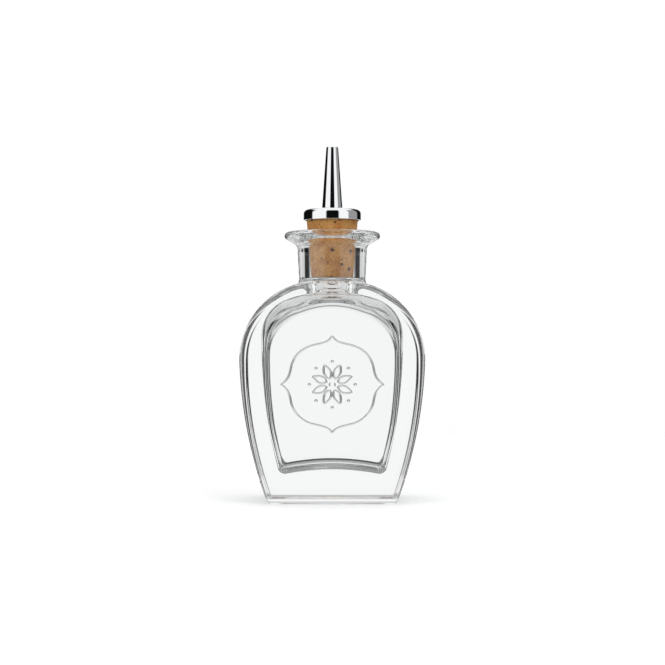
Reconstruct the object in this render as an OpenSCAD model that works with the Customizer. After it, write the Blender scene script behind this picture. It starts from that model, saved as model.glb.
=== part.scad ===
// Bitters bottle: a flat glass bottle with a corked metal dasher top.
// Origin at the centre of the base, +Z up, the broad front faces -Y.

/* [Body] */
// Widest width of the glass body
body_w = 72.4; // [68:0.2:80]
// Depth of the glass body, front to back
body_d = 41; // [38:0.5:50]
// Height of the top of the shoulder above the base
shoulder_z = 87.1; // [84:0.1:92]
// Radius of the shoulder curve seen from the front
shoulder_r = 31.1; // [29:0.1:33]
// Radius of the flank curve from the widest level down to the base
flank_r = 177; // [165:1:220]
// Angle below the widest level at which the flank curve starts
flank_start = 2.4; // [0:0.1:4]
// Radius of the base corners seen from the front
heel_r = 1.7; // [1:0.1:3]
// Rounding between the flanks and the broad faces
side_round = 2.8; // [2.4:0.1:3.4]
// Rounding between the shoulder and the broad faces
top_round = 4.5; // [4:0.1:6]
// Rounding between the base and the broad faces
base_round = 2.4; // [1:0.1:3]
// Depth of the hollow under the base
punt_depth = 0.8; // [0.4:0.1:1.5]
// Width of the ring that the bottle stands on
foot_w = 3.5; // [2.5:0.1:6]
// Corner radius of the hollow under the base
punt_corner = 5; // [3:0.5:7]

/* [Cavity] */
// Glass thickness of the broad front and back walls
wall_front = 4; // [3:0.1:6]
// Glass thickness at the widest level of the flanks
wall_side = 8.5; // [7.5:0.1:11]
// Glass thickness above the cavity
wall_top = 4.4; // [4:0.1:6]
// Glass thickness of the base at its corners
floor_t = 11.5; // [9:0.5:15]
// Rise of the floor at its centre
floor_rise = 1.8; // [0:0.1:3]
// Rounding between the cavity's flanks and its broad faces
cavity_side_round = 2.1; // [1.5:0.1:3]
// Rounding between the cavity's shoulder and its broad faces
cavity_top_round = 6.3; // [5:0.1:7]
// Rounding between the cavity's floor and its broad faces
cavity_floor_round = 3.6; // [2:0.1:5]
// Radius of the cavity's shoulder curves seen from the front
cavity_shoulder_r = 15.3; // [12:0.1:18]
// Radius of the cavity's flank curves seen from the front
cavity_flank_r = 209; // [190:1:300]
// Radius of the cavity's floor corners seen from the front
cavity_heel_r = 3; // [2:0.5:5]

/* [Neck] */
// Outer radius of the neck where it leaves the shoulder
neck_r = 13.3; // [12.5:0.1:15]
// How much wider the neck is under the lip
neck_flare = 0.6; // [0:0.05:0.8]
// Height of the lip's flat top above the shoulder
neck_h = 19.9; // [17:0.1:26]
// Outer radius of the lip
lip_r = 19.15; // [18:0.1:22]
// Rounding radius of the lip's edge
lip_edge_r = 1.7; // [1.4:0.1:2]
// Slope of the lip's underside
lip_slope = 30; // [26:1:40]
// Radius of the blend at the neck's foot
neck_blend_r = 1.5; // [1:0.1:3]
// Radius of the blend between the neck and the lip's underside
lip_blend_r = 2.5; // [1.5:0.1:3]
// Radius of the bore below the cork seat
bore_r = 9.4; // [9:0.1:10]
// Rounding radius of the mouth's inner edge
mouth_round = 3; // [2:0.1:3.4]
// Height of the tapered seat that the cork closes
seat_h = 5; // [3:0.5:7]

/* [Cork] */
// Radius of the cork's lower end
cork_r = 8.3; // [7.8:0.1:8.6]
// Half taper of the cork: radius gained for each mm of height
cork_taper = 0.083; // [0.07:0.001:0.09]
// Length of the cork
cork_h = 27; // [24:0.2:28]
// Clearance between the seated cork and the mouth
seat_gap = 0.12; // [0.1:0.01:0.2]
// Chamfer on the cork's lower edge
cork_chamfer = 0.5; // [0.2:0.1:0.8]
// Chamfer on the cork's head, where the cap's round corner turns
head_chamfer = 1.3; // [1.2:0.1:2]

/* [Metal top] */
// Outer radius of the cap
cap_r = 11.5; // [11.3:0.1:13]
// Height of the cap's open rim above the lip
cap_lift = 4.6; // [4:0.1:7]
// Height of the cap
cap_h = 4.4; // [4:0.1:6]
// Sheet thickness of the cap
cap_t = 0.6; // [0.4:0.1:0.8]
// Radius of the cap's rounded shoulder
cap_round = 1.8; // [1.2:0.1:2.2]
// Height of the spout above the cap
spout_h = 25; // [18:0.2:32]
// Radius of the spout where it stands on the cap
spout_r = 4.1; // [3.8:0.1:5]
// Radius of the spout's tip
tip_r = 2.4; // [2:0.1:3]
// Radius of the outlet in the tip
outlet_r = 0.9; // [0.6:0.1:1.2]
// Rounding radius of the tip's edge
tip_round = 0.35; // [0.2:0.05:0.5]
// Radius of the spout's shank below the cap
shank_r = 3.3; // [3.1:0.1:3.6]
// Length of the shank below the cap's top sheet
shank_h = 3.5; // [2.5:0.1:5]
// Outer radius of the stem tube
stem_r = 2.5; // [2.3:0.1:2.6]
// Wall thickness of the stem tube
stem_t = 0.5; // [0.3:0.05:0.6]
// Radius of the flare at the stem tube's lower end
flare_r = 3.2; // [3:0.1:3.6]
// Thickness of the flare
flare_t = 0.4; // [0.3:0.05:0.6]
// Outer radius of the retaining washer
washer_r = 4.6; // [4:0.1:6]
// Thickness of the retaining washer
washer_t = 0.5; // [0.4:0.1:1]
// Clearance of the metal parts that pass through the cork and the cap
metal_gap = 0.05; // [0.03:0.01:0.08]

/* [Hidden] */
$fn = 96;
over = 1;

// Points of an arc about a centre in n steps, without its last point
function arc(centre, r, from, to, n = 8) =
    [for (i = [0 : n - 1]) let (a = from + (to - from) * i / n) centre + r * [cos(a), sin(a)]];

// Right half of an outline seen from the front, from the crown down: a crown arc, a shoulder
// arc, a flank arc, a heel arc and a floor that may rise to the middle. The crown and the
// shoulder share their steps by angle, so that the points of two outlines lie side by side.
turn_n = 19;
flank_n = 8;
heel_n = 4;

function half_outline(half_w, top_z, crown_r, bend_r, side_r, start, floor_z, corner_r, rise, floor_n) =
    let (
        lean = asin((half_w - bend_r) / (crown_r - bend_r)),
        crown_n = max(1, round(turn_n * lean / (90 + start))),
        crown_c = [0, top_z - crown_r],
        bend_c = crown_c + (crown_r - bend_r) * [sin(lean), cos(lean)],
        side_c = bend_c + (bend_r - side_r) * [cos(start), -sin(start)],
        corner_z = floor_z + corner_r,
        corner_x = side_c.x + sqrt(pow(side_r - corner_r, 2) - pow(corner_z - side_c.y, 2)),
        corner_a = atan2(corner_z - side_c.y, corner_x - side_c.x)
    )
    concat(
        arc(crown_c, crown_r, 90, 90 - lean, crown_n),
        arc(bend_c, bend_r, 90 - lean, -start, turn_n - crown_n),
        arc(side_c, side_r, -start, corner_a, flank_n),
        arc([corner_x, corner_z], corner_r, corner_a, -90, heel_n),
        [for (i = [0 : floor_n]) let (s = 1 - i / floor_n) [corner_x * s, floor_z + rise * (1 - s * s)]]
    );

// A whole outline from its right half, whose first and last points lie on the middle
function whole(half) =
    concat(half, [for (i = [len(half) - 2 : -1 : 1]) [-half[i].x, half[i].y]]);

// A cushion-like solid between two outlines: full at mid depth, flat at front and back.
// Each point's edge is a quarter round whose depth is a share of how far the outlines lie apart.
round_n = 6;

module cushion(full, flat_face, depth, share = 1) {
    n = len(full);
    turns = [for (i = [0 : round_n]) 90 * i / round_n];
    function ring(a, side) = [
        for (i = [0 : n - 1])
            let (
                inset = flat_face[i] - full[i],
                p = full[i] + inset * (1 - cos(a)),
                y = depth / 2 - share * norm(inset) * (1 - sin(a))
            )
            [p.x, side * y, p.y]
    ];
    rings = concat(
        [for (k = [round_n : -1 : 0]) ring(turns[k], -1)],
        [for (k = [0 : round_n]) ring(turns[k], 1)]
    );
    last = len(rings) - 1;
    points = [for (r = rings) each r];
    sides = [
        for (k = [0 : last - 1], i = [0 : n - 1])
            let (j = (i + 1) % n, a = k * n + i, b = k * n + j, c = a + n, d = b + n)
            each [[a, d, b], [a, c, d]]
    ];
    front = [for (i = [0 : n - 1]) i];
    back = [for (i = [n - 1 : -1 : 0]) last * n + i];
    polyhedron(points, concat(sides, [front, back]), convexity = 4);
}

// Outer glass: the outline at mid depth and that of the broad faces, whose shoulder and flanks
// are tighter, so that the rounding between them is widest at the crown and least at the foot
crown_r = 200;
face_shoulder_r = shoulder_r - 4.7;
face_flank_r = flank_r - 19;
face_flank_start = -1.3;
body_full = whole(half_outline(
    body_w / 2, shoulder_z, crown_r, shoulder_r, flank_r, flank_start, 0, heel_r, 0, 1
));
body_face = whole(half_outline(
    body_w / 2 - side_round, shoulder_z - top_round, crown_r, face_shoulder_r,
    face_flank_r, face_flank_start, base_round, heel_r, 0, 1
));
foot_x = body_full[turn_n + flank_n + heel_n].x;

// Cavity: the outline at mid depth and that of its broad faces, which is more of an arch
cavity_w = body_w / 2 - wall_side;
cavity_top = shoulder_z - wall_top;
cavity_d = body_d - 2 * wall_front;
cavity_crown_r = 2 * cavity_w - 0.8;
cavity_round_share = 0.75;
arch_w = cavity_w - cavity_side_round;
arch_crown_r = arch_w + 5.7;
arch_shoulder_r = cavity_shoulder_r + 0.9;
arch_flank_r = cavity_flank_r - 35;
floor_steps = 5;
cavity_full = whole(half_outline(
    cavity_w, cavity_top, cavity_crown_r, cavity_shoulder_r,
    cavity_flank_r, 0, floor_t, cavity_heel_r, floor_rise, floor_steps
));
cavity_face = whole(half_outline(
    arch_w, cavity_top - cavity_top_round, arch_crown_r, arch_shoulder_r,
    arch_flank_r, 0, floor_t + cavity_floor_round, cavity_heel_r, floor_rise, floor_steps
));

// Radius of the cork at a height
function cork_at(z) = cork_r + (z - cork_z) * cork_taper;

lip_z = shoulder_z + neck_h;
cap_z = lip_z + cap_lift;
cap_top = cap_z + cap_h;
cork_top = cap_top - cap_t;
cork_z = cork_top - cork_h;
tip_z = cap_top + spout_h;
shank_z = cork_top - shank_h;
washer_z = cork_z - washer_t;
flare_z = washer_z - flare_t;
stem_bore_r = stem_r - stem_t;
// The stem tube stops 1 mm short of the cap, and the outlet is as long as the tip is wide
stem_top = cork_top - 1;
outlet_h = tip_r;
seat_top = lip_z - mouth_round;

// Neck and lip, turned about the vertical
module neck_and_lip() {
    lip_c = [lip_r - lip_edge_r, lip_z - lip_edge_r];
    rim_end = lip_c + lip_edge_r * [sin(lip_slope), -cos(lip_slope)];
    top_r = neck_r + neck_flare;
    blend_top = shoulder_z + 0.9 * neck_blend_r;
    under_z = rim_end.y - (rim_end.x - top_r) * tan(lip_slope);
    under_len = lip_blend_r * tan((90 - lip_slope) / 2);
    foot_c = [neck_r + neck_blend_r, blend_top];
    foot_end = foot_c + neck_blend_r * [cos(225), sin(225)];
    foot_drop = neck_blend_r + 0.8;
    rotate_extrude()
        polygon(concat(
            [[0, lip_z]],
            arc(lip_c, lip_edge_r, 90, lip_slope - 90),
            [rim_end],
            arc([top_r + lip_blend_r, under_z - under_len], lip_blend_r, 90 + lip_slope, 180),
            arc(foot_c, neck_blend_r, 180, 225),
            [foot_end, foot_end + foot_drop * [1, -1], [0, foot_end.y - foot_drop]]
        ));
}

// Bore with its tapered cork seat and rounded mouth
module bore() {
    seat_low = seat_top - seat_h;
    mouth_r = cork_at(seat_top) + seat_gap;
    rotate_extrude()
        polygon(concat(
            [[0, cavity_top - cavity_top_round], [bore_r, cavity_top - cavity_top_round]],
            [[cork_at(seat_low) + seat_gap, seat_low]],
            arc([mouth_r + mouth_round, seat_top], mouth_round, 180, 90),
            [[mouth_r + mouth_round, lip_z], [mouth_r + mouth_round, lip_z + over], [0, lip_z + over]]
        ));
}

// Shallow hollow that leaves a ring for the bottle to stand on
module punt() {
    punt_x = foot_x - foot_w;
    punt_y = body_d / 2 - base_round - foot_w;
    in_x = punt_x - punt_corner;
    in_y = punt_y - punt_corner;
    translate([0, 0, -over])
        linear_extrude(over + punt_depth) {
            square([2 * punt_x, 2 * in_y], center = true);
            square([2 * in_x, 2 * punt_y], center = true);
            for (sx = [-1, 1], sy = [-1, 1])
                translate([sx * in_x, sy * in_y])
                    circle(punt_corner);
        }
}

module bottle() {
    color([0.86, 0.92, 0.93, 0.45])
        difference() {
            union() {
                cushion(body_full, body_face, body_d);
                neck_and_lip();
            }
            cushion(cavity_full, cavity_face, cavity_d, cavity_round_share);
            bore();
            punt();
        }
}

// Tapered natural cork, drilled for the stem and the spout's shank
module cork() {
    head_z = cork_top - head_chamfer;
    color("peru")
        difference() {
            rotate_extrude()
                polygon([
                    [0, cork_z],
                    [cork_r - cork_chamfer, cork_z],
                    [cork_at(cork_z + cork_chamfer), cork_z + cork_chamfer],
                    [cork_at(head_z), head_z],
                    [cork_at(head_z) - head_chamfer, cork_top],
                    [0, cork_top]
                ]);
            translate([0, 0, cork_z - over])
                cylinder(r = stem_r + metal_gap, h = cork_top - cork_z + 2 * over);
            translate([0, 0, shank_z - metal_gap])
                cylinder(r = shank_r + metal_gap, h = cork_top - shank_z + over);
        }
}

// Drawn sheet-metal cup over the cork's head
module cap() {
    inner_r = cap_r - cap_t;
    inner_round = cap_round - cap_t;
    color("silver")
        difference() {
            rotate_extrude()
                polygon(concat(
                    [[0, cap_z], [cap_r, cap_z]],
                    arc([cap_r - cap_round, cap_top - cap_round], cap_round, 0, 90),
                    [[cap_r - cap_round, cap_top], [0, cap_top]]
                ));
            rotate_extrude()
                polygon(concat(
                    [[0, cap_z - over], [inner_r, cap_z - over]],
                    arc([inner_r - inner_round, cork_top - inner_round], inner_round, 0, 90),
                    [[inner_r - inner_round, cork_top], [0, cork_top]]
                ));
            translate([0, 0, cork_top - over])
                cylinder(r = shank_r + metal_gap, h = cap_t + 2 * over);
        }
}

// Turned tapered spout with its shank, stem socket and narrow outlet
module spout() {
    socket_r = stem_r + metal_gap;
    color("silver")
        rotate_extrude()
            polygon(concat(
                [[socket_r, shank_z], [shank_r, shank_z], [shank_r, cap_top], [spout_r, cap_top]],
                arc([tip_r - tip_round, tip_z - tip_round], tip_round, 0, 90),
                [[tip_r - tip_round, tip_z], [outlet_r, tip_z], [outlet_r, tip_z - outlet_h]],
                [[stem_bore_r, stem_top + metal_gap], [socket_r, stem_top + metal_gap]]
            ));
}

// Tube through the cork, flared under the washer
module stem_tube() {
    color("gainsboro")
        rotate_extrude()
            polygon([
                [stem_bore_r, flare_z],
                [flare_r, flare_z],
                [flare_r, washer_z],
                [stem_r, washer_z],
                [stem_r, stem_top],
                [stem_bore_r, stem_top]
            ]);
}

// Thin washer between the flare and the cork
module stem_washer() {
    color("gainsboro")
        translate([0, 0, washer_z])
            difference() {
                cylinder(r = washer_r, h = washer_t);
                translate([0, 0, -over])
                    cylinder(r = stem_r + metal_gap, h = washer_t + 2 * over);
            }
}

bottle();
cork();
cap();
spout();
stem_tube();
stem_washer();
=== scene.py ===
"""Looks of a corked glass bitters bottle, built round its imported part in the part's own frame.

Sizes are in millimetres until a mesh is made, and the part's boxes give the driving ones.
"""

import math

import bmesh
import bpy
import numpy as np
from mathutils.geometry import delaunay_2d_cdt
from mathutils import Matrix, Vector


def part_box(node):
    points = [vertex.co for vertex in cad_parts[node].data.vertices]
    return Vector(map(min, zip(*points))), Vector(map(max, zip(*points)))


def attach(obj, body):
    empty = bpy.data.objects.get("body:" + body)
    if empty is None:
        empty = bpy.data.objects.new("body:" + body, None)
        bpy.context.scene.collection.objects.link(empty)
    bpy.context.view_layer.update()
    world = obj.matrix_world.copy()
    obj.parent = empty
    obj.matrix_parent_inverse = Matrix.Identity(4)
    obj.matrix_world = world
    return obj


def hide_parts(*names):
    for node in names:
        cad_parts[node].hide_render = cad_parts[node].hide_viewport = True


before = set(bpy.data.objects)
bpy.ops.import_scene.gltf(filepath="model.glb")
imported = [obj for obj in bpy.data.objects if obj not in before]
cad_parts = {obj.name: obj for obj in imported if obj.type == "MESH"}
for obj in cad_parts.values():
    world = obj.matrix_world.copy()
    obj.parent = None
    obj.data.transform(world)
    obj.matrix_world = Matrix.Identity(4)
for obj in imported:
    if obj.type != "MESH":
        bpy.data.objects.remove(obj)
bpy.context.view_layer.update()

MM = 0.001
PHOTO_PX = 665
WHITE, GREY, DARK = "#FFFFFF", "#9A9A9A", "#0C0C0C"


def node_box(name):
    """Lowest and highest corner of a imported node, in millimetres."""
    low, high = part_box(name)
    return np.array(low) / MM, np.array(high) / MM


glass_low, glass_high = node_box("bottle")
cork_low, cork_high = node_box("cork")
cap_low, cap_high = node_box("cap")
spout_low, spout_high = node_box("spout")
stem_low, stem_high = node_box("stem_tube")
washer_low, washer_high = node_box("stem_washer")


# Curves and lists of points

def arc(centre, radius, start, end, count, last=False):
    """Points of an arc in degrees, in count steps, with or without its last point."""
    angles = np.radians(np.linspace(start, end, count + 1))
    points = [(centre[0] + radius * math.cos(a), centre[1] + radius * math.sin(a)) for a in angles]
    return points if last else points[:-1]


def bezier(p0, p1, p2, p3, count):
    """Points of a cubic curve in count steps, without its last point."""
    p0, p1, p2, p3 = (np.array(p, float) for p in (p0, p1, p2, p3))
    out = []
    for t in np.linspace(0, 1, count + 1)[:-1]:
        s = 1 - t
        out.append(s ** 3 * p0 + 3 * s * s * t * p1 + 3 * s * t * t * p2 + t ** 3 * p3)
    return out


def line(start, end, count):
    """Points of a straight run in count steps, without its last point."""
    start, end = np.array(start, float), np.array(end, float)
    return [start + (end - start) * t for t in np.linspace(0, 1, count + 1)[:-1]]


# Meshes

class Skin:
    """Points and faces in millimetres that are welded into one closed mesh."""

    def __init__(self):
        self.points = []
        self.faces = []

    def grid(self, rows, closed=True):
        """Quads between rows of points. Closed rows join their last point to their first."""
        first = len(self.points)
        width = len(rows[0])
        for row in rows:
            self.points.extend(tuple(p) for p in row)
        steps = width if closed else width - 1
        for r in range(len(rows) - 1):
            for c in range(steps):
                a = first + r * width + c
                b = first + r * width + (c + 1) % width
                self.faces.append((a, b, b + width, a + width))

    def flat(self, loop, to_space, guides=()):
        """Triangles inside a closed plane loop, with guide polylines as edges.

        The function to_space takes the flat points to their places in space.
        """
        flat_points = [tuple(p) for p in loop]
        edges = []
        for guide, closed in guides:
            start = len(flat_points)
            flat_points.extend(tuple(p) for p in guide)
            count = len(guide)
            edges.extend((start + i, start + i + 1) for i in range(count - 1))
            if closed:
                edges.append((start + count - 1, start))
        rim = list(range(len(loop)))
        out = delaunay_2d_cdt(flat_points, edges, [rim], 1, 1e-5)
        first = len(self.points)
        self.points.extend(to_space(np.array([tuple(p) for p in out[0]])))
        self.faces.extend(tuple(first + i for i in face) for face in out[2])

    def build(self, name, material):
        """The welded object, smooth shaded, with its normals facing out."""
        shape = bmesh.new()
        verts = [shape.verts.new([c * MM for c in p]) for p in self.points]
        for face in self.faces:
            corners = [verts[i] for i in dict.fromkeys(face)]
            if len(corners) > 2:
                shape.faces.new(corners)
        bmesh.ops.remove_doubles(shape, verts=shape.verts, dist=0.002 * MM)
        bmesh.ops.dissolve_degenerate(shape, edges=shape.edges, dist=0.0005 * MM)
        loose = [v for v in shape.verts if not v.link_faces]
        bmesh.ops.delete(shape, geom=loose, context="VERTS")
        bmesh.ops.recalc_face_normals(shape, faces=shape.faces)
        open_edges = sum(1 for e in shape.edges if len(e.link_faces) != 2)
        print(name, "faces", len(shape.faces), "open edges", open_edges)
        for face in shape.faces:
            face.smooth = True
        mesh = bpy.data.meshes.new(name)
        shape.to_mesh(mesh)
        shape.free()
        mesh.materials.append(material)
        obj = bpy.data.objects.new(name, mesh)
        bpy.context.scene.collection.objects.link(obj)
        return obj


def turned(profile, angles):
    """Rows of points: each profile point (r, z) is taken round the vertical at the angles."""
    return [[(r * math.cos(a), r * math.sin(a), z) for a in angles] for r, z in profile]


def round_angles(count):
    """Evenly spread angles round the vertical."""
    return np.linspace(0, 2 * math.pi, count, endpoint=False)


def mark_sharp(obj, degrees):
    """Marks edges that turn more than some degrees as sharp, so flats stay flat."""
    shape = bmesh.new()
    shape.from_mesh(obj.data)
    limit = math.radians(degrees)
    for edge in shape.edges:
        edge.smooth = not (len(edge.link_faces) == 2 and edge.calc_face_angle() > limit)
    shape.to_mesh(obj.data)
    shape.free()


# Materials

def rgb(code):
    """Linear colour of an sRGB hex value."""
    parts = [int(code[i:i + 2], 16) / 255 for i in (1, 3, 5)]
    return tuple(c / 12.92 if c <= 0.04045 else ((c + 0.055) / 1.055) ** 2.4 for c in parts) + (1.0,)


def add(tree, kind, links=None, **settings):
    """Adds a node, sets it, and gives its sockets values or links."""
    made = tree.nodes.new(kind)
    for key, value in settings.items():
        setattr(made, key, value)
    for key, value in (links or {}).items():
        if isinstance(value, bpy.types.NodeSocket):
            tree.links.new(value, made.inputs[key])
        else:
            made.inputs[key].default_value = value
    return made


def new_material(name):
    """An empty node material and its tree."""
    material = bpy.data.materials.new(name)
    material.use_nodes = True
    material.node_tree.nodes.clear()
    return material, material.node_tree


def ramp_stops(made, stops):
    """Sets a colour ramp's stops from (place, hex value) pairs."""
    bar = made.color_ramp.elements
    while len(bar) > 1:
        bar.remove(bar[-1])
    bar[0].position = stops[0][0]
    bar[0].color = rgb(stops[0][1])
    for place, code in stops[1:]:
        stop = bar.new(place)
        stop.color = rgb(code)
    return made


def clear_pressed_glass():
    """Soda-lime glass pressed in a mould and fire polished: clear, with a faint slow ripple.

    Lamps shine through it with a slight tint, so that the bottle's shadow stays light.
    """
    material, tree = new_material("clear_pressed_glass")
    place = add(tree, "ShaderNodeTexCoord")
    ripple_mm = 9.0
    ripple = add(tree, "ShaderNodeTexNoise", {
        "Vector": place.outputs["Object"], "Scale": 1 / (ripple_mm * MM),
        "Detail": 1.0, "Roughness": 0.4})
    bump = add(tree, "ShaderNodeBump", {
        "Height": ripple.outputs["Fac"], "Strength": 0.25, "Distance": 0.05 * MM})
    glass = add(tree, "ShaderNodeBsdfPrincipled", {
        "Base Color": rgb("#FDFEFE"), "Roughness": 0.0, "IOR": 1.52, "Transmission Weight": 1.0,
        "Normal": bump.outputs["Normal"]})
    lamp_light = add(tree, "ShaderNodeBsdfTransparent", {"Color": rgb("#F2F4F4")})
    rays = add(tree, "ShaderNodeLightPath")
    mix = add(tree, "ShaderNodeMixShader", {
        0: rays.outputs["Is Shadow Ray"], 1: glass.outputs["BSDF"], 2: lamp_light.outputs["BSDF"]})
    add(tree, "ShaderNodeOutputMaterial", {"Surface": mix.outputs["Shader"]})
    return material


def polished_chrome(name):
    """Bright nickel-chrome plating, buffed: mirror reflections with hair-fine round scratches.

    Real buffing lines are finer than this; they are drawn coarse enough to show.
    """
    material, tree = new_material(name)
    place = add(tree, "ShaderNodeTexCoord")
    scratch_mm = 0.25
    stretch = add(tree, "ShaderNodeMapping", {
        "Vector": place.outputs["Object"], "Scale": (0.15, 0.15, 1.0)})
    scratch = add(tree, "ShaderNodeTexNoise", {
        "Vector": stretch.outputs["Vector"], "Scale": 1 / (scratch_mm * MM), "Detail": 2.0})
    rough = add(tree, "ShaderNodeMapRange", {
        "Value": scratch.outputs["Fac"], "From Min": 0.35, "From Max": 0.75,
        "To Min": 0.03, "To Max": 0.09})
    chrome = add(tree, "ShaderNodeBsdfPrincipled", {
        "Base Color": rgb("#EDEEF0"), "Metallic": 1.0, "Roughness": rough.outputs["Result"]})
    add(tree, "ShaderNodeOutputMaterial", {"Surface": chrome.outputs["BSDF"]})
    return material


def drawn_stainless():
    """Drawn stainless tube and sheet: grey metal with fine lines along the draw.

    The lines are drawn coarser than real ones, so that they show.
    """
    material, tree = new_material("drawn_stainless")
    place = add(tree, "ShaderNodeTexCoord")
    line_mm = 0.2
    stretch = add(tree, "ShaderNodeMapping", {
        "Vector": place.outputs["Object"], "Scale": (1.0, 1.0, 0.08)})
    lines = add(tree, "ShaderNodeTexNoise", {
        "Vector": stretch.outputs["Vector"], "Scale": 1 / (line_mm * MM), "Detail": 2.0})
    rough = add(tree, "ShaderNodeMapRange", {
        "Value": lines.outputs["Fac"], "To Min": 0.2, "To Max": 0.4})
    steel = add(tree, "ShaderNodeBsdfPrincipled", {
        "Base Color": rgb("#C9CACB"), "Metallic": 1.0, "Roughness": rough.outputs["Result"]})
    add(tree, "ShaderNodeOutputMaterial", {"Surface": steel.outputs["BSDF"]})
    return material


def ground_cork():
    """Natural cork ground to a taper: warm tan cell texture, darker growth bands and brown pits.

    A few larger pores are nearly black, and the cells tear their edges. Single cells are far too
    fine to show, so the texture is that of clumps of cells.
    """
    material, tree = new_material("ground_cork")
    place = add(tree, "ShaderNodeTexCoord")
    cell_mm, band_mm, pit_mm, pore_mm, torn_mm = 0.7, 4.0, 2.3, 4.4, 0.9
    cells = add(tree, "ShaderNodeTexNoise", {
        "Vector": place.outputs["Object"], "Scale": 1 / (cell_mm * MM),
        "Detail": 5.0, "Roughness": 0.65})
    bands = add(tree, "ShaderNodeTexNoise", {
        "Vector": place.outputs["Object"], "Scale": 1 / (band_mm * MM),
        "Detail": 2.0, "Roughness": 0.5})
    cell_colour = ramp_stops(add(tree, "ShaderNodeValToRGB", {"Fac": cells.outputs["Fac"]}), [
        (0.30, "#A8743C"), (0.45, "#C08A4C"), (0.60, "#CF9C5C"), (0.75, "#DDB077")])
    band_colour = ramp_stops(add(tree, "ShaderNodeValToRGB", {"Fac": bands.outputs["Fac"]}), [
        (0.35, "#D8B48C"), (0.55, "#FFFFFF")])
    banded = add(tree, "ShaderNodeMix", {
        "Factor": 0.6, "A": cell_colour.outputs["Color"], "B": band_colour.outputs["Color"]},
        data_type="RGBA", blend_type="MULTIPLY")
    pits = add(tree, "ShaderNodeTexVoronoi", {
        "Vector": place.outputs["Object"], "Scale": 1 / (pit_mm * MM), "Randomness": 1.0})
    pit_mask = ramp_stops(add(tree, "ShaderNodeValToRGB", {"Fac": pits.outputs["Distance"]}), [
        (0.10, "#FFFFFF"), (0.18, "#000000")])
    ragged = add(tree, "ShaderNodeVectorMath", {
        0: cells.outputs["Color"], 1: (torn_mm * MM,) * 3, 2: place.outputs["Object"]},
        operation="MULTIPLY_ADD")
    pores = add(tree, "ShaderNodeTexVoronoi", {
        "Vector": ragged.outputs["Vector"], "Scale": 1 / (pore_mm * MM), "Randomness": 1.0})
    pore_mask = ramp_stops(add(tree, "ShaderNodeValToRGB", {"Fac": pores.outputs["Distance"]}), [
        (0.12, "#FFFFFF"), (0.20, "#000000")])
    colour = add(tree, "ShaderNodeMix", {
        "Factor": pit_mask.outputs["Color"], "A": banded.outputs["Result"], "B": rgb("#5A341C")},
        data_type="RGBA")
    pored = add(tree, "ShaderNodeMix", {
        "Factor": pore_mask.outputs["Color"], "A": colour.outputs["Result"], "B": rgb("#3A1E10")},
        data_type="RGBA")
    bump = add(tree, "ShaderNodeBump", {
        "Height": cells.outputs["Fac"], "Strength": 0.5, "Distance": 0.15 * MM})
    cork = add(tree, "ShaderNodeBsdfPrincipled", {
        "Base Color": pored.outputs["Result"], "Roughness": 0.85, "Normal": bump.outputs["Normal"]})
    add(tree, "ShaderNodeOutputMaterial", {"Surface": cork.outputs["BSDF"]})
    return material


# Camera, at the photograph's place: it looks along +Y from in front of the bottle

CAMERA_MM = (0.1, -650.0, 62.6)
AIM_Z = 66.8
FOCUS_PX = 1625.0
SENSOR_MM = 36.0

camera_data = bpy.data.cameras.new("camera")
camera_data.sensor_width = SENSOR_MM
camera_data.lens = FOCUS_PX * SENSOR_MM / PHOTO_PX
camera_data.clip_start = 0.01
camera_data.clip_end = 50.0
camera = bpy.data.objects.new("camera", camera_data)
camera.location = [c * MM for c in CAMERA_MM]
tilt = math.atan2(AIM_Z - CAMERA_MM[2], -CAMERA_MM[1])
camera.rotation_euler = (math.pi / 2 + tilt, 0, 0)
bpy.context.scene.collection.objects.link(camera)
bpy.context.scene.camera = camera


# Bottle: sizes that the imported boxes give, and the part's own values for the rest

body_d = glass_high[1] - glass_low[1]
lip_z = glass_high[2]
body_w = 72.4
shoulder_z = 87.1
shoulder_r = 31.1
flank_r = 177.0
flank_start = 2.4
crown_r = 200.0
heel_r = 1.7
side_round, top_round, base_round = 2.8, 4.5, 2.4
face_shoulder_r, face_flank_r, face_flank_start = shoulder_r - 4.7, flank_r - 19, -1.3
foot_w, punt_corner, punt_depth, punt_ease = 3.5, 5, 0.8, 1.2

wall_front, wall_side, wall_top, floor_t = 4.0, 8.5, 4.4, 11.5
floor_rise = 1.8
cavity_w, cavity_top = body_w / 2 - wall_side, shoulder_z - wall_top
cavity_d = body_d - 2 * wall_front
cavity_shoulder_r, cavity_flank_r, cavity_heel_r = 15.3, 209, 3
cavity_side_round, cavity_top_round, cavity_floor_round = 2.1, 6.3, 3.6
arch_shoulder_r, arch_flank_r = 16.2, 174
cavity_edge_share = 0.75

neck_r, neck_flare, lip_r, lip_edge_r, lip_slope = 13.3, 0.6, 19.15, 1.7, 30.0
lip_blend_r = 2.5
bore_r, mouth_round, seat_h, seat_gap = 9.4, 3.0, 5.0, 0.12
neck_foot_r, neck_foot_z = 14.9, shoulder_z + 1.3
bore_foot_r, bore_foot_z = 11.4, cavity_top + 2.0

cork_r, cork_taper, head_chamfer = 8.3, 0.083, 1.3
cap_t, shank_room = 0.6, 3.55
stem_r, stem_in_r, stem_hole_r, shank_hole_r = 2.5, 2.0, 2.55, 3.35

ROUND_STEPS = 10
BAND_STEPS = 24
CROWN_HALF = 20
RING = 2 * (2 * CROWN_HALF + BAND_STEPS)
CROWN_SHARES = (0, 0.2, 0.4, 0.6, 0.8, 0.93, 1)
EASE = 0.3
FULLNESS = 1.6
OUTLINE_STEPS = (50, 48, 8, 16)
TO_BASE = sum(OUTLINE_STEPS[:3])


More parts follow.
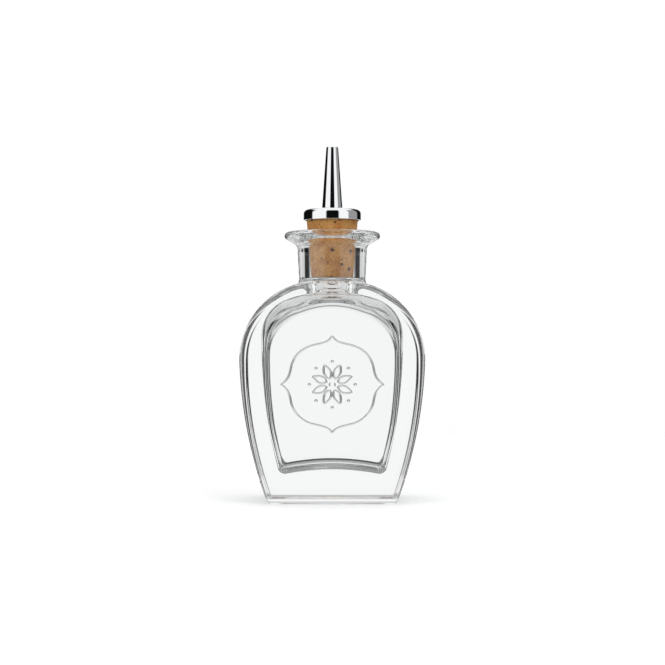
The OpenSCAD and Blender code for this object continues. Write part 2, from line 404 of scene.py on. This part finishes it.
def half_outline(half_w, top_z, top_r, bend_r, side_r, start, floor_z, corner_r, rise):
    """Right half of an outline seen from the front, from the crown down to the floor's middle.

    The crown and the shoulder share their steps by angle, so the points of two outlines pair up.
    """
    turn_n, flank_n, heel_n, floor_n = OUTLINE_STEPS
    lean = math.asin((half_w - bend_r) / (top_r - bend_r))
    crown_n = max(1, round(turn_n * math.degrees(lean) / (90 + start)))
    crown_c = (0.0, top_z - top_r)
    bend_c = ((top_r - bend_r) * math.sin(lean), crown_c[1] + (top_r - bend_r) * math.cos(lean))
    turn = math.radians(start)
    side_c = (bend_c[0] + (bend_r - side_r) * math.cos(turn),
              bend_c[1] - (bend_r - side_r) * math.sin(turn))
    corner_z = floor_z + corner_r
    corner_x = side_c[0] + math.sqrt((side_r - corner_r) ** 2 - (corner_z - side_c[1]) ** 2)
    corner_a = math.degrees(math.atan2(corner_z - side_c[1], corner_x - side_c[0]))
    points = arc(crown_c, top_r, 90, 90 - math.degrees(lean), crown_n)
    points += arc(bend_c, bend_r, 90 - math.degrees(lean), -start, turn_n - crown_n)
    points += arc(side_c, side_r, -start, corner_a, flank_n)
    points += arc((corner_x, corner_z), corner_r, corner_a, -90, heel_n)
    for s in np.linspace(1, 0, floor_n + 1):
        points.append((corner_x * s, floor_z + rise * (1 - s * s)))
    return points


def whole(half):
    """A closed outline: the right half going down, then its mirror image going up."""
    return np.array(half + [(-x, z) for x, z in half[-2:0:-1]])


def band_shares():
    """Shares of the way across the band, with a narrow step at each edge that keeps it flat."""
    inner = np.linspace(0, 1, BAND_STEPS - 1)
    return np.concatenate([[0], inner * 0.98 + 0.01, [1]])


def cushion(skin, full, face, depth, hole_r, flat_base, share=1.0):
    """A cushion-shaped skin with a round hole in its crown, and with or without a base.

    The rounding is as deep as a share of how far the outlines lie apart. Returns the hole's
    rim as a row of points, for the neck or the bore to go on from.
    """
    count = len(full)
    inset = face - full
    deep = np.linalg.norm(inset, axis=1) * share
    half = depth / 2

    def ring(angle, side):
        a = math.radians(angle)
        flat = full + inset * (1 - math.cos(a))
        y = half - deep * (1 - math.sin(a))
        return [(flat[i, 0], side * y[i], flat[i, 1]) for i in range(count)]

    for side in (-1, 1):
        skin.grid([ring(a, side) for a in np.linspace(90, 0, ROUND_STEPS + 1)])
    shares = band_shares()
    edge = half - deep

    def cross(i):
        return [(full[i, 0], -edge[i] + 2 * edge[i] * s, full[i, 1]) for s in shares]

    runs = [range(CROWN_HALF, count - CROWN_HALF + 1)]
    if flat_base:
        runs = [range(CROWN_HALF, TO_BASE + 1), range(count - TO_BASE, count - CROWN_HALF + 1)]
    for run in runs:
        skin.grid([cross(i) for i in run], closed=False)

    front = [(full[i % count, 0], -edge[i % count]) for i in range(-CROWN_HALF, CROWN_HALF + 1)]
    right = [(p[0], p[1]) for p in cross(CROWN_HALF)]
    back = [(x, -y) for x, y in front[::-1]]
    left = [(-x, y) for x, y in right[::-1]]
    outer = np.array(front[:-1] + right[:-1] + back[:-1] + left[:-1])
    rim_angles = ring_angles()
    hole = np.column_stack([np.cos(rim_angles), np.sin(rim_angles)]) * hole_r
    span = full[:, 0][: CROWN_HALF + 1]
    height = full[:, 1][: CROWN_HALF + 1]

    def crown(points):
        return [(x, y, float(np.interp(abs(x), span, height))) for x, y in points]

    skin.grid([crown(outer + (hole - outer) * t) for t in CROWN_SHARES])
    return crown(hole)


def ring_angles():
    """Angles of the points round the neck, from the crown patch's front left corner."""
    start = -math.pi / 2 - math.pi * 2 * CROWN_HALF / RING
    return np.linspace(start, start + 2 * math.pi, RING, endpoint=False)


def inset_loop(loop, by):
    """A closed loop moved inward by a distance. The loop runs clockwise seen from its front."""
    ahead = np.roll(loop, -1, axis=0) - np.roll(loop, 1, axis=0)
    ahead /= np.linalg.norm(ahead, axis=1)[:, None]
    inward = np.column_stack([ahead[:, 1], -ahead[:, 0]])
    return loop + inward * by


# Raised ornament on the front: a barbed quatrefoil frame round an eight-petalled rosette

ORNAMENT_Z = 46.5
FRAME_W, FRAME_H = 19.8, 18.9
LINE_HALF = 0.4
LINE_H = 0.24
BEAD_H = 0.3


def quatrefoil():
    """The frame's closed line, from the top barb clockwise."""
    quarter = bezier((0, FRAME_H), (1.0, 16.6), (3.4, 16.2), (7.0, 15.4), 16)
    quarter += bezier((7.0, 15.4), (12.4, 14.2), (15.4, 10.4), (16.1, 6.2), 24)
    quarter += bezier((16.1, 6.2), (16.5, 3.4), (17.6, 1.6), (FRAME_W, 0), 16)
    quarter = np.array(quarter)
    right_low = quarter[:0:-1] * (1, -1)
    tip = np.array([[FRAME_W, 0]])
    right = np.vstack([quarter, tip, right_low])
    bottom = np.array([[0, -FRAME_H]])
    left = right[:0:-1] * (-1, 1)
    return np.vstack([right, bottom, left])


def petal(angle, near, far, wide):
    """An almond outline that points away from the centre."""
    side = bezier((near, 0), (near + 1.2, wide), (far - 2.6, wide), (far, 0), 14)
    side = np.array(side)
    other = np.vstack([[[far, 0]], side[:0:-1] * (1, -1)])
    loop = np.vstack([side, other])
    c, s = math.cos(angle), math.sin(angle)
    return loop @ np.array([[c, s], [-s, c]])


def ornament():
    """Closed lines and beads (x, z, radius), all measured from the ornament's centre."""
    lines = [quatrefoil()]
    beads = [(0.0, 0.0, 1.5)]
    for k in range(8):
        angle = math.pi / 8 + k * math.pi / 4
        lines.append(petal(angle, 2.4, 8.2, 1.75))
        mid = angle + math.pi / 8
        beads.append((8.9 * math.cos(mid), 8.9 * math.sin(mid), 0.65))
    return lines, beads


def relief(points, lines, beads):
    """How far each point (x, z) of the front stands proud, in millimetres."""
    rise = np.zeros(len(points))
    margin = 2
    for loop in lines:
        start = loop
        step = np.roll(loop, -1, axis=0) - start
        length2 = np.maximum((step ** 2).sum(1), 1e-12)
        for i, point in enumerate(points):
            if abs(point[0]) > FRAME_W + margin or abs(point[1]) > FRAME_H + margin:
                continue
            t = np.clip(((point - start) * step).sum(1) / length2, 0, 1)
            gap = np.sqrt((((start + step * t[:, None]) - point) ** 2).sum(1)).min()
            if gap < LINE_HALF:
                rise[i] = max(rise[i], LINE_H * 0.5 * (1 + math.cos(math.pi * gap / LINE_HALF)))
    for x, z, radius in beads:
        gap = np.hypot(points[:, 0] - x, points[:, 1] - z) / radius
        dome = BEAD_H * np.clip(1 - gap ** 2, 0, 1) ** 1.5
        rise = np.maximum(rise, dome)
    return rise


def front_guides(lines, beads):
    """Polylines that give the front enough edges along each raised line and bead."""
    guides = []
    for loop in lines:
        for share in (-1.5, -1, -0.66, -0.33, 0, 0.33, 0.66, 1, 1.5):
            guides.append((inset_loop(loop, share * LINE_HALF), True))
    for x, z, radius in beads:
        for share in (1.2, 1, 0.93, 0.75, 0.45):
            guides.append((np.array(arc((x, z), radius * share, 0, 360, 16)), True))
    return guides


def punt_height(points, half_x, half_y):
    """Height of the base's underside at points (x, y): a shallow hollow with a soft edge."""
    qx = np.abs(points[:, 0]) - (half_x - punt_corner)
    qy = np.abs(points[:, 1]) - (half_y - punt_corner)
    past_corner = np.hypot(np.maximum(qx, 0), np.maximum(qy, 0))
    outside = past_corner + np.minimum(np.maximum(qx, qy), 0) - punt_corner
    t = np.clip(-outside / punt_ease, 0, 1)
    return punt_depth * t * t * (3 - 2 * t)


def punt_loop(half_x, half_y, inward):
    """The hollow's rounded rectangle, drawn in by a distance."""
    x, y, r = half_x - punt_corner, half_y - punt_corner, punt_corner - inward
    loop = []
    for k, (sx, sy) in enumerate(((1, 1), (-1, 1), (-1, -1), (1, -1))):
        loop += arc((sx * x, sy * y), r, 90 * k, 90 * k + 90, 8, last=True)
    return np.array(loop)


def bottle_skin():
    """The whole glass: outside, lip, bore and cavity in one closed skin."""
    skin = Skin()
    full = whole(half_outline(body_w / 2, shoulder_z, crown_r, shoulder_r, flank_r, flank_start,
                              0, heel_r, 0))
    face = whole(half_outline(body_w / 2 - side_round, shoulder_z - top_round, crown_r,
                              face_shoulder_r, face_flank_r, face_flank_start, base_round,
                              heel_r, 0))
    neck_foot = cushion(skin, full, face, body_d, neck_foot_r, True)

    lines, beads = ornament()
    centre = np.array([0, ORNAMENT_Z])
    guides = [(guide + centre, closed) for guide, closed in front_guides(lines, beads)]
    easing = inset_loop(face, EASE)
    front_y = body_d / 2

    def to_front(points):
        rise = relief(points - centre, lines, beads)
        return [(x, -front_y - r, z) for (x, z), r in zip(points, rise)]

    def to_back(points):
        return [(x, front_y, z) for x, z in points]

    skin.flat(face, to_front, guides + [(easing, True)])
    skin.flat(face, to_back, [(easing, True)])

    # Base with its hollow
    deep = np.linalg.norm(face - full, axis=1)
    edge = body_d / 2 - deep
    shares = band_shares()
    right = [(full[TO_BASE, 0], -edge[TO_BASE] + 2 * edge[TO_BASE] * s) for s in shares]
    back = [(full[i, 0], edge[i]) for i in range(TO_BASE, len(full) - TO_BASE + 1)]
    left = [(-x, y) for x, y in right[::-1]]
    front = [(x, -y) for x, y in back[::-1]]
    base = np.array(right[:-1] + back[:-1] + left[:-1] + front[:-1])
    half_x, half_y = full[TO_BASE, 0] - foot_w, body_d / 2 - base_round - foot_w
    punt = [(punt_loop(half_x, half_y, t), True) for t in np.linspace(0, punt_ease, 6)]

    def to_base(points):
        heights = punt_height(points, half_x, half_y)
        return [(x, y, h) for (x, y), h in zip(points, heights)]

    skin.flat(base, to_base, punt)

    # Cavity
    arch_w = cavity_w - cavity_side_round
    hollow = whole(half_outline(cavity_w, cavity_top, 2 * cavity_w - 0.8, cavity_shoulder_r,
                                cavity_flank_r, 0, floor_t, cavity_heel_r, floor_rise))
    arch = whole(half_outline(arch_w, cavity_top - cavity_top_round, arch_w + 5.7,
                              arch_shoulder_r, arch_flank_r, 0, floor_t + cavity_floor_round,
                              cavity_heel_r, floor_rise))
    bore_foot = cushion(skin, hollow, arch, cavity_d, bore_foot_r, False, cavity_edge_share)
    inner_ease = inset_loop(arch, EASE)
    for side in (-1, 1):
        skin.flat(arch, lambda points, side=side: [(x, side * cavity_d / 2, z) for x, z in points],
                  [(inner_ease, True)])

    # Neck, lip, mouth and bore, turned
    angles = ring_angles()
    skin.grid(blend_rows(neck_foot, neck_foot_r, full, neck_r, neck_foot_z, angles))
    skin.grid(turned(neck_profile(), angles))
    skin.grid(blend_rows(bore_foot, bore_foot_r, hollow, bore_r, bore_foot_z, angles))
    return skin


def blend_rows(foot, foot_r, outline, top_r, top_z, angles, steps=8):
    """Rows that rise from a rim on the curved crown to a level ring, tangent to both."""
    xs, zs = outline[: CROWN_HALF + 1, 0], outline[: CROWN_HALF + 1, 1]
    rows = []
    for t in np.linspace(0, 1, steps + 1):
        h00, h10 = 2 * t ** 3 - 3 * t ** 2 + 1, t ** 3 - 2 * t ** 2 + t
        h01, h11 = -2 * t ** 3 + 3 * t ** 2, t ** 3 - t ** 2
        row = []
        for point, a in zip(foot, angles):
            x = abs(point[0])
            slope = float(np.interp(x + 0.2, xs, zs) - np.interp(max(x - 0.2, 0), xs, zs)) / 0.4
            slope *= abs(math.cos(a)) if x > 0.2 else 0
            rise = top_z - point[2]
            r = h00 * foot_r + h10 * (top_r - foot_r) * FULLNESS + h01 * top_r
            z = (h00 * point[2] + h10 * slope * (top_r - foot_r) * FULLNESS
                 + h01 * top_z + h11 * rise * FULLNESS)
            row.append((r * math.cos(a), r * math.sin(a), z))
        rows.append(row)
    return rows


def cork_radius(z):
    """Radius of the tapered cork at a height."""
    return cork_r + (z - cork_low[2]) * cork_taper


def neck_profile():
    """Profile (r, z) from the neck's foot up over the lip and down the bore."""
    lip_c = (lip_r - lip_edge_r, lip_z - lip_edge_r)
    slope = math.radians(lip_slope)
    rim_end = (lip_c[0] + lip_edge_r * math.sin(slope), lip_c[1] - lip_edge_r * math.cos(slope))
    top_r = neck_r + neck_flare
    under_z = rim_end[1] - (rim_end[0] - top_r) * math.tan(slope)
    under_len = lip_blend_r * math.tan(math.radians(90 - lip_slope) / 2)
    under_c = (top_r + lip_blend_r, under_z - under_len)
    seat_top = lip_z - mouth_round
    seat_low = seat_top - seat_h
    mouth_r = cork_radius(seat_top) + seat_gap
    seat_low_r = cork_radius(seat_low) + seat_gap
    profile = line((neck_r, neck_foot_z), (top_r, under_c[1]), 10)
    profile += arc(under_c, lip_blend_r, 180, 90 + lip_slope, 8)
    profile += line((top_r + lip_blend_r * (1 - math.sin(slope)),
                     under_c[1] + lip_blend_r * math.cos(slope)), rim_end, 6)
    profile += arc(lip_c, lip_edge_r, lip_slope - 90, 90, 20)
    profile += line((lip_c[0], lip_z), (mouth_r + mouth_round, lip_z), 8)
    profile += arc((mouth_r + mouth_round, seat_top), mouth_round, 90, 180, 8)
    profile += line((mouth_r, seat_top), (seat_low_r, seat_low), 6)
    profile += line((seat_low_r, seat_low), (bore_r, bore_foot_z), 16)
    profile.append((bore_r, bore_foot_z))
    return profile


glass = bottle_skin().build("bottle_glass", clear_pressed_glass())
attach(glass, "glass")
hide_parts("bottle")


# Cork

def cork_skin():
    """The tapered cork with its drilled way for the stem, and ground pits in its flank."""
    low_z, high_z = cork_low[2], cork_high[2]
    shank_z = cap_high[2] - cap_t - shank_room
    rng = np.random.default_rng(7)
    pits = [(rng.uniform(0, 2 * math.pi), rng.uniform(low_z + 1, high_z - 1),
             rng.uniform(0.25, 0.7), rng.uniform(0.15, 0.45)) for _ in range(46)]
    angles = round_angles(220)
    head_z = high_z - head_chamfer
    heights = np.linspace(low_z + 0.5, head_z, 120)
    rows = [[(r * math.cos(a), r * math.sin(a), low_z) for a in angles]
            for r in (stem_hole_r, 4.0, 6.0, 7.4, 7.8)]
    for z in heights:
        radius = cork_radius(z)
        row = []
        for a in angles:
            sink = 0.0
            for pa, pz, wide, deep in pits:
                turn = (a - pa + math.pi) % (2 * math.pi) - math.pi
                gap = math.hypot(turn * radius / (wide * 1.6), (z - pz) / wide)
                if gap < 1:
                    sink = max(sink, deep * (1 - gap * gap))
            row.append(((radius - sink) * math.cos(a), (radius - sink) * math.sin(a), z))
        rows.append(row)
    top = [(cork_radius(head_z) - head_chamfer, high_z), (shank_hole_r, high_z),
           (shank_hole_r, shank_z), (stem_hole_r, shank_z), (stem_hole_r, low_z)]
    rows += turned(top, angles)
    skin = Skin()
    skin.grid(rows)
    return skin


cork = cork_skin().build("cork_body", ground_cork())
mark_sharp(cork, 60)
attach(cork, "stopper")
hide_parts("cork")


# Metal top

def cap_profile():
    """Section of the drawn cup: outside up, over the shoulder, and back down inside."""
    low, high, out_r = cap_low[2], cap_high[2], cap_high[0]
    bend, lip = 1.8, 0.12
    inner_r, inner_top, inner_bend = out_r - cap_t, high - cap_t, bend - cap_t
    profile = arc((out_r - lip, low + lip), lip, -90, 0, 4)
    profile += line((out_r, low + lip), (out_r, high - bend), 6)
    profile += arc((out_r - bend, high - bend), bend, 0, 90, 14)
    profile += line((out_r - bend, high), (shank_hole_r, high), 8)
    profile += [(shank_hole_r, high), (shank_hole_r, inner_top)]
    profile += line((shank_hole_r, inner_top), (inner_r - inner_bend, inner_top), 6)[1:]
    profile += arc((inner_r - inner_bend, inner_top - inner_bend), inner_bend, 90, 0, 10)
    profile += [(inner_r, inner_top - inner_bend), (inner_r, low + lip), (inner_r, low)]
    profile.append((out_r - lip, low))
    return profile


def spout_profile():
    """Section of the turned spout: shank, cone, rounded tip, outlet and stem socket."""
    shank_z, seat_z, tip_z = spout_low[2], cap_high[2], spout_high[2]
    shank_r, foot_r, tip_r = 3.3, spout_high[0], 2.4
    tip_round, foot_ease, outlet_ease = 0.35, 0.25, 0.15
    outlet_r, outlet_h, socket_z = 0.9, 2.4, stem_high[2] + 0.05
    tip_c = (tip_r - tip_round, tip_z - tip_round)
    profile = [(stem_hole_r, shank_z), (shank_r, shank_z), (shank_r, seat_z),
               (foot_r - foot_ease, seat_z)]
    profile += arc((foot_r - foot_ease, seat_z + foot_ease), foot_ease, -90, 0, 4)
    profile += line((foot_r, seat_z + foot_ease), (tip_r, tip_c[1]), 24)
    profile += arc(tip_c, tip_round, 0, 90, 8)
    profile += [(tip_c[0], tip_z), (outlet_r + outlet_ease, tip_z), (outlet_r, tip_z - outlet_ease)]
    profile += [(outlet_r, tip_z - outlet_h), (stem_in_r, socket_z), (stem_hole_r, socket_z)]
    return profile


def stem_profile():
    """Section of the stem tube with its flare."""
    flare_z, top_z, flare_r, ease = stem_low[2], stem_high[2], stem_high[0], 0.1
    return [(stem_in_r, flare_z), (flare_r - ease, flare_z), (flare_r, flare_z + ease),
            (flare_r, washer_low[2]), (stem_r, washer_low[2]), (stem_r, top_z), (stem_in_r, top_z)]


def washer_profile():
    """Section of the washer under the cork."""
    low, high, out_r, ease = washer_low[2], washer_high[2], washer_high[0], 0.1
    return [(stem_hole_r, low), (out_r - ease, low), (out_r, low + ease), (out_r, high - ease),
            (out_r - ease, high), (stem_hole_r, high)]


def turned_piece(name, profile, material, node, sharp=30, count=160):
    """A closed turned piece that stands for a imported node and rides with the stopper."""
    skin = Skin()
    rows = turned(list(profile) + [profile[0]], round_angles(count))
    skin.grid(rows)
    obj = skin.build(name, material)
    mark_sharp(obj, sharp)
    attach(obj, "stopper")
    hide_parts(node)
    return obj


plated = polished_chrome("polished_chrome")
steel = drawn_stainless()
turned_piece("cap_cup", cap_profile(), plated, "cap")
turned_piece("spout_cone", spout_profile(), plated, "spout")
turned_piece("stem_pipe", stem_profile(), steel, "stem_tube")
turned_piece("stem_ring", washer_profile(), steel, "stem_washer")


# Floor, lamps and world

def floor_material(fade_from, fade_to):
    """Matt white paper that only the camera sees, and that fades out into the white background."""
    material, tree = new_material("studio_paper")
    place = add(tree, "ShaderNodeTexCoord")
    away = add(tree, "ShaderNodeVectorMath", {0: place.outputs["Object"]}, operation="LENGTH")
    fade = add(tree, "ShaderNodeMapRange", {
        "Value": away.outputs["Value"], "From Min": fade_from, "From Max": fade_to,
        "To Min": 1.0, "To Max": 0.0}, interpolation_type="SMOOTHSTEP")
    rays = add(tree, "ShaderNodeLightPath")
    solid = add(tree, "ShaderNodeMath", {
        0: fade.outputs["Result"], 1: rays.outputs["Is Camera Ray"]}, operation="MULTIPLY")
    paper = add(tree, "ShaderNodeBsdfPrincipled", {
        "Base Color": rgb("#F7F7F7"), "Roughness": 0.9, "Specular IOR Level": 0.1,
        "Alpha": solid.outputs[0]})
    add(tree, "ShaderNodeOutputMaterial", {"Surface": paper.outputs["BSDF"]})
    return material


FLOOR_R, FADE_FROM, FADE_TO = 0.7, 0.2, 0.6
floor_skin = Skin()
floor_skin.grid(turned([(r / MM, 0.0) for r in np.linspace(MM, FLOOR_R, 12)], round_angles(96)))
floor = floor_skin.build("studio_floor", floor_material(FADE_FROM, FADE_TO))


def screens_round(tree, share, screens):
    """A ramp round the horizon.

    Screens stand at degrees from the photograph's side, minus to the left.
    """
    ramp = ramp_stops(add(tree, "ShaderNodeValToRGB", {"Fac": share}), [
        (0.5 + degrees / 360, shade) for degrees, shade in screens])
    return ramp.outputs["Color"]


def alike(half):
    """Screens of one side, from 0 to 180 degrees, and the same screens on the other side."""
    return [(-degrees, shade) for degrees, shade in half[:0:-1]] + half


def over(tree, rise, low, high, below, above):
    """Goes over from one set of screens to another as the view turns up."""
    step = add(tree, "ShaderNodeMapRange", {
        "Value": rise, "From Min": low, "From Max": high}, interpolation_type="SMOOTHSTEP")
    both = add(tree, "ShaderNodeMix", {
        "Factor": step.outputs[0], "A": below, "B": above}, data_type="RGBA")
    return both.outputs["Result"]


def mirror_room(tree, share, rise):
    """What polished metal sees: white and dark screens all round, open white above and below."""
    round_about = screens_round(tree, share, [
        (-180, WHITE), (-172, WHITE), (-166, GREY), (-158, DARK), (-88, DARK), (-84, WHITE),
        (-27, WHITE), (-22, DARK), (24, DARK), (29, WHITE), (66, WHITE), (70, GREY), (116, GREY),
        (120, DARK), (158, DARK), (166, GREY), (172, WHITE)])
    room = over(tree, rise, -0.26, -0.20, rgb(WHITE), round_about)
    return over(tree, rise, 0.62, 0.80, room, rgb(WHITE))


def glass_room(tree, share, rise):
    """What the glass bends light from: a white backdrop between dark cards that draw its edges.

    Rows follow each other from below the floor to above the lamps: the lowest rows are painted floor
    shadow, the higher ones are cards.
    """
    # The first three rows and the grey room under them are painted floor shadow: the floor is hidden
    # from the glass, and these greys behind and below stand in for its shade round the bottle.
    low = [(0, WHITE), (145, WHITE), (152, "#747474"), (172, "#747474"), (178, "#A0A0A0")]
    floor_shadow_steep = [(0, WHITE), (145, WHITE), (152, "#808080"), (170, "#606060"), (176, "#202020")]
    floor_shadow_shallow = [(0, WHITE), (145, WHITE), (152, "#808080"), (170, "#606060"), (173, "#606060"),
                (175, WHITE)]
    level = [(0, WHITE), (86, WHITE), (96, "#B0B0B0"), (108, "#A0A0A0"), (116, DARK), (146, DARK),
             (150, "#D0D0D0"), (155, "#D0D0D0"), (158, DARK), (170, DARK), (173.5, "#808080"),
             (176, WHITE)]
    above = [(0, WHITE), (86, WHITE), (96, "#D0D0D0"), (108, "#A0A0A0"), (116, "#202020"),
             (143, "#202020"), (148, "#D8D8D8"), (170, "#E0E0E0"), (176, "#F8F8F8")]
    front_card = [(0, "#C8C8C8"), (5, "#C8C8C8"), (10, "#282828"), (38, "#282828"), (50, "#D0D0D0")]
    high = front_card + [(90, "#C0C0C0"), (130, "#D8D8D8"), (170, "#E8E8E8"), (176, "#F8F8F8")]
    ledge = front_card + [(140, "#C8C8C8"), (155, "#989898")]
    # Straight down, the glass sees this grey: painted shadow of the floor under the bottle.
    room = rgb("#A0A0A0")
    for step_low, step_high, screens in (
            (-0.70, -0.62, low), (-0.37, -0.31, floor_shadow_steep), (-0.24, -0.22, floor_shadow_shallow),
            (-0.155, -0.125, level), (0.05, 0.10, above), (0.15, 0.22, high), (0.20, 0.25, ledge),
            (0.32, 0.37, high)):
        row = screens_round(tree, share, alike(screens))
        room = over(tree, rise, step_low, step_high, room, row)
    return over(tree, rise, 0.70, 0.90, room, rgb("#DCDCDC"))


def studio_world():
    """Soft white room for matt surfaces, rooms of screens for mirrors and for glass, and painted
    floor shadow below the glass's screens.
    """
    world = bpy.data.worlds.new("studio")
    bpy.context.scene.world = world
    world.use_nodes = True
    tree = world.node_tree
    tree.nodes.clear()
    way = add(tree, "ShaderNodeTexCoord")
    axes = add(tree, "ShaderNodeSeparateXYZ", {0: way.outputs["Generated"]})
    ahead = add(tree, "ShaderNodeMath", {0: axes.outputs["Y"], 1: -1.0}, operation="MULTIPLY")
    turn = add(tree, "ShaderNodeMath", {
        0: axes.outputs["X"], 1: ahead.outputs[0]}, operation="ARCTAN2")
    share = add(tree, "ShaderNodeMath", {
        0: turn.outputs[0], 1: 1 / (2 * math.pi), 2: 0.5}, operation="MULTIPLY_ADD")
    rays = add(tree, "ShaderNodeLightPath")
    rise = axes.outputs["Z"]
    fill = add(tree, "ShaderNodeBackground", {"Color": rgb(WHITE), "Strength": 0.55})
    seen = add(tree, "ShaderNodeBackground", {"Color": rgb(WHITE), "Strength": 1.0})
    mirrored = add(tree, "ShaderNodeBackground", {
        "Color": mirror_room(tree, share.outputs[0], rise), "Strength": 1.08})
    bent = add(tree, "ShaderNodeBackground", {
        "Color": glass_room(tree, share.outputs[0], rise), "Strength": 0.98})
    surface = fill.outputs[0]
    for kind, light in (
            ("Is Glossy Ray", mirrored), ("Is Transmission Ray", bent), ("Is Camera Ray", seen)):
        mix = add(tree, "ShaderNodeMixShader", {
            0: rays.outputs[kind], 1: surface, 2: light.outputs[0]})
        surface = mix.outputs[0]
    add(tree, "ShaderNodeOutputWorld", {"Surface": surface})


studio_world()


def soft_lamp(name, place, aim, size, watts):
    """A square soft box that lights matt surfaces only; the world holds what mirrors see."""
    data = bpy.data.lights.new(name, "AREA")
    data.shape = "SQUARE"
    data.size = size
    data.energy = watts
    lamp = bpy.data.objects.new(name, data)
    lamp.location = place
    bpy.context.scene.collection.objects.link(lamp)
    direction = np.array(aim) - np.array(place)
    flat = math.hypot(direction[0], direction[1])
    lamp.rotation_euler = (
        math.atan2(flat, -direction[2]), 0, math.atan2(-direction[0], direction[1]))
    lamp.visible_glossy = False
    lamp.visible_transmission = False
    lamp.visible_camera = False


soft_lamp("key_lamp", (-0.9, -1.1, 1.2), (0, 0, 0.08), 1.4, 12)
soft_lamp("fill_lamp", (1.0, -1.0, 1.1), (0, 0, 0.08), 1.4, 8)
soft_lamp("top_lamp", (0.0, 0.2, 1.6), (0, 0, 0.05), 1.0, 10)

# Glass bends a ray many times before it leaves the bottle

scene = bpy.context.scene
scene.view_settings.view_transform = "Standard"
scene.cycles.max_bounces = 24
scene.cycles.transmission_bounces = 24
scene.cycles.glossy_bounces = 12
scene.cycles.transparent_max_bounces = 16
